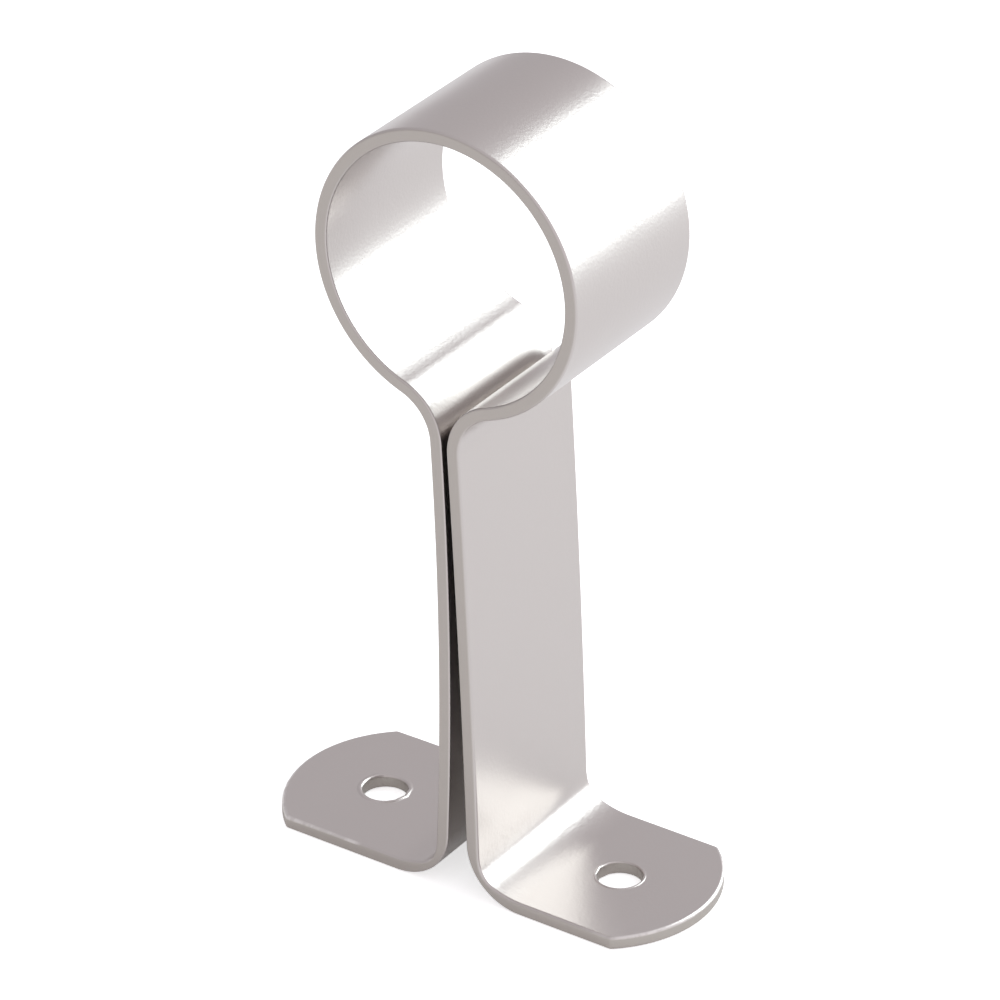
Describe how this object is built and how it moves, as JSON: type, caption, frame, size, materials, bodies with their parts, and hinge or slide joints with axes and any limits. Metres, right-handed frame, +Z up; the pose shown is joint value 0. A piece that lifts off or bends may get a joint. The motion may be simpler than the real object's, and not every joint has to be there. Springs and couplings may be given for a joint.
{
  "type": "centre pole bracket",
  "caption": "One bent metal strip: an open ring that carries a curtain or wardrobe pole, legs pressed together below it, and flat screw feet with rounded ends.",
  "frame": {"origin": "on the surface that the feet sit on, midway between the two screw holes, under the pole's axis", "axes": "+X from the left foot to the right foot, +Y along the pole, +Z up from the feet to the ring"},
  "size_m": [0.045, 0.0184, 0.0779],
  "materials": {
    "nickel_plated_steel": "bright nickel plating over a rolled steel strip, satin sheen"
  },
  "bodies": {
    "root": {"pole_bracket": "nickel_plated_steel"}
  },
  "joints": []
}
